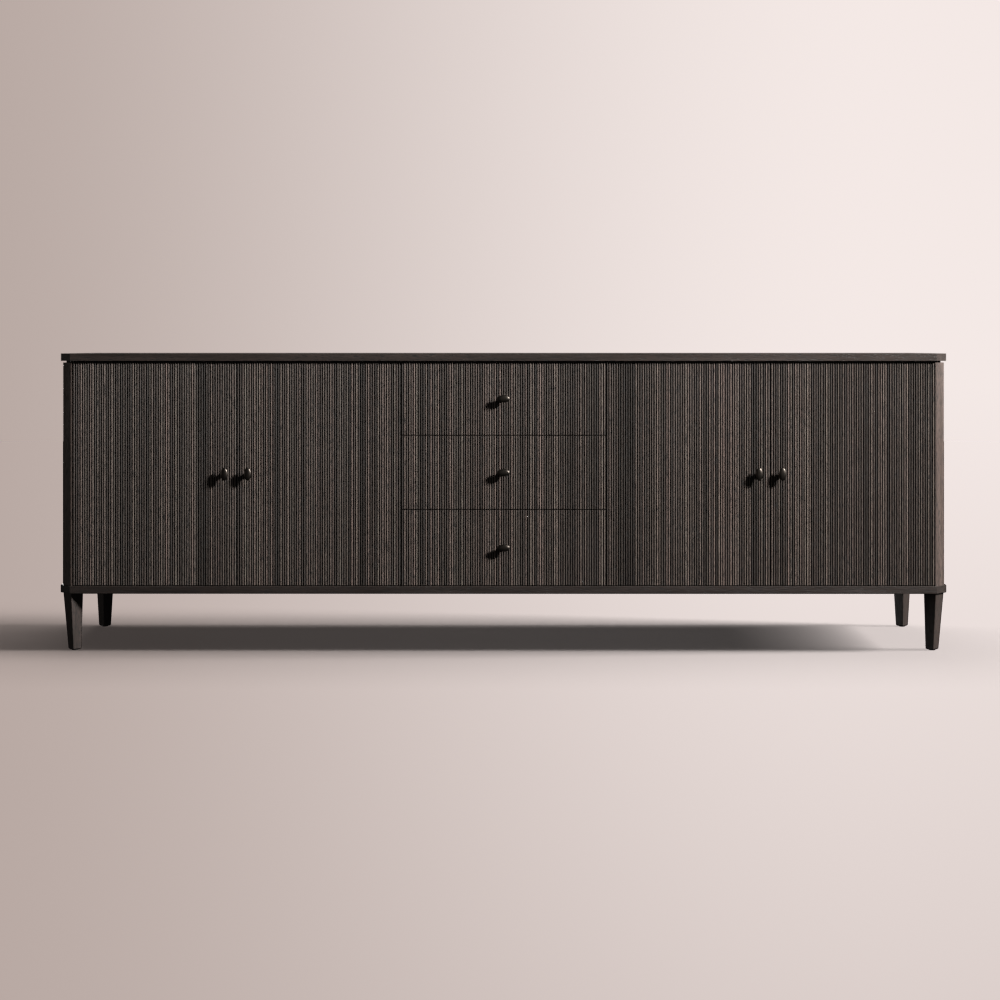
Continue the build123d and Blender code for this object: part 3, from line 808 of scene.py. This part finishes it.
class SIDEBOARD_OT_fittings(bpy.types.Operator):
    """Finish the hinges, rails, catches and glides, and add the screws of the back boards"""

    bl_idname = "sideboard.fittings"
    bl_label = "Fittings"

    def execute(self, context):
        finish = context.scene.sideboard_fittings
        steel = metal("plated_steel", finish.steel, roughness=0.32, brushed=(1.0, 0.05, 1.0))
        black = metal("black_steel", finish.black_steel, roughness=0.45)
        brass = metal("turned_brass", finish.brass, roughness=0.26)
        nylon = plastic("black_nylon", finish.nylon, roughness=0.5)
        brown = plastic("catch_plastic", base=(0.03, 0.024, 0.02), roughness=0.45)
        for name in frame["nodes"]:
            if name.endswith("_rails") or name in ("leg_bolts", "shelf_pins"):
                dress(name, steel)
            elif name.startswith("pivot_plates"):
                dress(name, black)
            elif name.endswith("_fittings"):
                dress(name, brass)
        dress("leg_glides", nylon)
        dress("door_catches", brown)

        bm = bmesh.new()
        radius = finish.screw_radius
        head = [
            (radius, 0.0),
            (radius, 0.5 * MM),
            (radius * 0.8, 1.2 * MM),
            (radius * 0.5, 1.6 * MM),
            (radius * 0.42, 1.6 * MM),
            (radius * 0.30, 0.6 * MM),
        ]
        backward = Matrix.Rotation(math.radians(-90), 4, "X")
        for place in back_screw_places(finish):
            rings = lathe(bm, head, 20)
            moved = Matrix.Translation(place) @ backward
            bmesh.ops.transform(bm, matrix=moved, verts=[vertex for ring in rings for vertex in ring])
        bmesh.ops.recalc_face_normals(bm, faces=bm.faces)
        mesh = bpy.data.meshes.new("back_screws")
        bm.to_mesh(mesh)
        bm.free()
        screws = finished_piece("back_screws", mesh, steel, "root")
        return {"FINISHED"}


# ------------------------------------------------------------------ studio


def area_light(name, at, aim, size, power, tint, lit, shadow=True, blockers=None):
    """A soft lamp of a width and height, aimed at a point, which lights only what is in a collection."""
    lamp = bpy.data.lights.new(name, "AREA")
    lamp.shape = "RECTANGLE"
    lamp.size, lamp.size_y = size
    lamp.energy = power
    lamp.color = tint
    lamp.use_shadow = shadow
    made = bpy.data.objects.new(name, lamp)
    made.location = at
    made.rotation_euler = (Vector(aim) - Vector(at)).to_track_quat("-Z", "Y").to_euler()
    made.visible_camera = False
    made.light_linking.receiver_collection = lit
    made.light_linking.blocker_collection = blockers
    bpy.context.scene.collection.objects.link(made)


def light_collection(name, objects, state):
    """A collection that lights are linked to: only these objects, or all but these."""
    made = bpy.data.collections.new(name)
    for each in objects:
        made.objects.link(each)
    for entry in made.collection_objects:
        entry.light_linking.link_state = state
    return made


def floor_material(studio):
    """Pale matt paper floor."""
    material, tree, shader, where = new_material("pale_floor")
    fibre = stretched_noise(tree, where, (1.0, 1.0, 1.0), 220.0, 3.0)
    paler = tuple(min(1.0, channel * 1.02) for channel in studio.paper)
    mottled = mixed(tree, remap(tree, fibre, 0.4, 0.6), tuple(studio.paper), paler)
    feed(tree, shader.inputs["Base Color"], mottled)
    shader.inputs["Roughness"].default_value = 0.9
    shader.inputs["Specular IOR Level"].default_value = 0.1
    return material


def room_world(studio):
    """Soft dim room light, with a paler backdrop where the world is seen directly, graded as painted light:
    dimmer away from the key light, brighter beside it, and a little dimmer lower down.
    """
    world = bpy.data.worlds.new("room")
    world.use_nodes = True
    tree = world.node_tree
    light = tree.nodes["Background"]
    feed(tree, light.inputs["Color"], tuple(studio.room))
    light.inputs["Strength"].default_value = studio.room_strength
    direction = add_node(tree, "ShaderNodeTexCoord").outputs["Generated"]
    parts = add_node(tree, "ShaderNodeSeparateXYZ")
    feed(tree, parts.inputs[0], direction)
    # painted light on the backdrop: dimmer away from the key light, brighter beside it, and a little dimmer
    # lower down
    graded = add_node(tree, "ShaderNodeMapRange", interpolation_type="SMOOTHSTEP")
    feed(tree, graded.inputs["Value"], parts.outputs["X"])
    graded.inputs["From Min"].default_value = -0.315
    graded.inputs["From Max"].default_value = 0.205
    lower = remap(tree, parts.outputs["Z"], -0.02, -0.36, 1.0, 0.5)
    brightness = maths(tree, "MULTIPLY", graded.outputs["Result"], lower)
    drop = add_node(tree, "ShaderNodeBackground")
    shade = mixed(tree, brightness, tuple(studio.drop_dim), tuple(studio.drop_bright))
    feed(tree, drop.inputs["Color"], shade)
    choose = add_node(tree, "ShaderNodeMixShader")
    feed(tree, choose.inputs[0], add_node(tree, "ShaderNodeLightPath").outputs["Is Camera Ray"])
    feed(tree, choose.inputs[1], light.outputs[0])
    feed(tree, choose.inputs[2], drop.outputs[0])
    feed(tree, tree.nodes["World Output"].inputs["Surface"], choose.outputs[0])
    return world


class SIDEBOARD_OT_studio(bpy.types.Operator):
    """Set up the camera, the lights and the seamless floor"""

    bl_idname = "sideboard.studio"
    bl_label = "Studio"

    def execute(self, context):
        scene, studio = context.scene, context.scene.sideboard_studio
        front, back = BOARD_LOW.y, BOARD_HIGH.y

        camera = bpy.data.objects.new("camera", bpy.data.cameras.new("camera"))
        camera.location = (0.0, front - studio.camera_away, studio.camera_height)
        camera.rotation_euler = (math.radians(90), 0.0, -studio.camera_turn)
        camera.data.lens = studio.lens
        camera.data.shift_y = studio.shift
        camera.data.clip_end = 100.0
        scene.collection.objects.link(camera)
        scene.camera = camera

        mesh = bpy.data.meshes.new("studio_floor")
        bm = bmesh.new()
        bmesh.ops.create_circle(bm, cap_ends=True, radius=studio.floor_radius, segments=128)
        bm.to_mesh(mesh)
        bm.free()
        mesh.materials.append(floor_material(studio))
        floor = bpy.data.objects.new("studio_floor", mesh)
        # the floor takes shadows only, so that it runs into the backdrop without a line
        floor.is_shadow_catcher = True
        floor.visible_diffuse = False
        floor.visible_glossy = False
        scene.collection.objects.link(floor)

        furniture = light_collection("lit_sideboard", [floor], "EXCLUDE")
        ground = light_collection("lit_floor", [floor], "INCLUDE")
        legs = [node for name, node in frame["nodes"].items() if name.startswith("leg_")]
        all_but_legs = light_collection("all_but_legs", legs, "EXCLUDE")
        middle = Vector((0.0, front, 0.48))
        key = middle + KEY_DIRECTION * studio.key_away
        key_size = (studio.key_size, studio.key_size)
        area_light("key_light", key, middle, key_size, studio.key_power, (1.0, 0.97, 0.94), furniture)
        before = (0.6, front - 4.5, 1.1)
        area_light("front_fill", before, middle, (3.0, 3.0), studio.front_power, (1.0, 0.94, 0.90), furniture)
        left = (-5.0, front - 0.9, 0.9)
        area_light("left_fill", left, middle, (1.5, 1.5), studio.left_power, (1.0, 0.92, 0.86), furniture)
        behind = (-3.0, back + 3.6, 0.75)
        target = (-0.4, back, 0.45)
        area_light("back_light", behind, target, (1.0, 1.0), studio.back_power, (1.0, 0.96, 0.93), furniture)
        white = (1.0, 1.0, 1.0)
        # part of the side light passes the legs, so that their shadows stay faint
        side = (9.0, -0.4, 4.7)
        side_size = (2.0, 4.6)
        blocked = studio.floor_key_power * studio.leg_shadow
        past_legs = studio.floor_key_power - blocked
        area_light("floor_key", side, ORIGIN, side_size, blocked, white, ground)
        area_light("floor_key_past", side, ORIGIN, side_size, past_legs, white, ground, blockers=all_but_legs)
        above = (0.0, back + 0.6, 3.6)
        area_light("floor_fill", above, (0, front, 0), (3.0, 1.6), studio.floor_fill_power, white, ground)
        lift, lift_size, lift_power = (0.0, 0.0, 6.0), (2.0, 2.0), studio.floor_lift_power
        area_light("floor_lift", lift, ORIGIN, lift_size, lift_power, white, ground, shadow=False)

        scene.world = room_world(studio)
        scene.view_settings.view_transform = "Standard"
        return {"FINISHED"}


# ------------------------------------------------------------------ panel and registration

STEPS = ("studio", "reeded_fronts", "knobs", "case", "inside", "drawer_boxes", "fittings")
SETTINGS = {
    "sideboard_oak": OakFinish,
    "sideboard_reeds": ReedShape,
    "sideboard_knobs": KnobShape,
    "sideboard_inside": InsideFinish,
    "sideboard_fittings": FittingFinish,
    "sideboard_studio": Studio,
}


class SIDEBOARD_PT_panel(bpy.types.Panel):
    """Lists the steps that build the sideboard"""

    bl_idname = "SIDEBOARD_PT_panel"
    bl_label = "Reeded sideboard"
    bl_space_type = "VIEW_3D"
    bl_region_type = "UI"
    bl_category = "Sideboard"

    def draw(self, context):
        for step in STEPS:
            self.layout.operator(f"sideboard.{step}")
        for group, kind in SETTINGS.items():
            box = self.layout.box()
            for setting in kind.__annotations__:
                box.prop(getattr(context.scene, group), setting)


CLASSES = (
    *SETTINGS.values(),
    SIDEBOARD_OT_studio,
    SIDEBOARD_OT_reeded_fronts,
    SIDEBOARD_OT_knobs,
    SIDEBOARD_OT_case,
    SIDEBOARD_OT_inside,
    SIDEBOARD_OT_drawer_boxes,
    SIDEBOARD_OT_fittings,
    SIDEBOARD_PT_panel,
)


def register():
    for kind in CLASSES:
        bpy.utils.register_class(kind)
    for name, kind in SETTINGS.items():
        setattr(bpy.types.Scene, name, PointerProperty(type=kind))


def unregister():
    for name in SETTINGS:
        delattr(bpy.types.Scene, name)
    for kind in reversed(CLASSES):
        bpy.utils.unregister_class(kind)


def main():
    register()
    make_grain_group()
    make_wear_group()
    make_handling_group()
    for step in STEPS:
        getattr(bpy.ops.sideboard, step)()


if __name__ == "__main__":
    main()
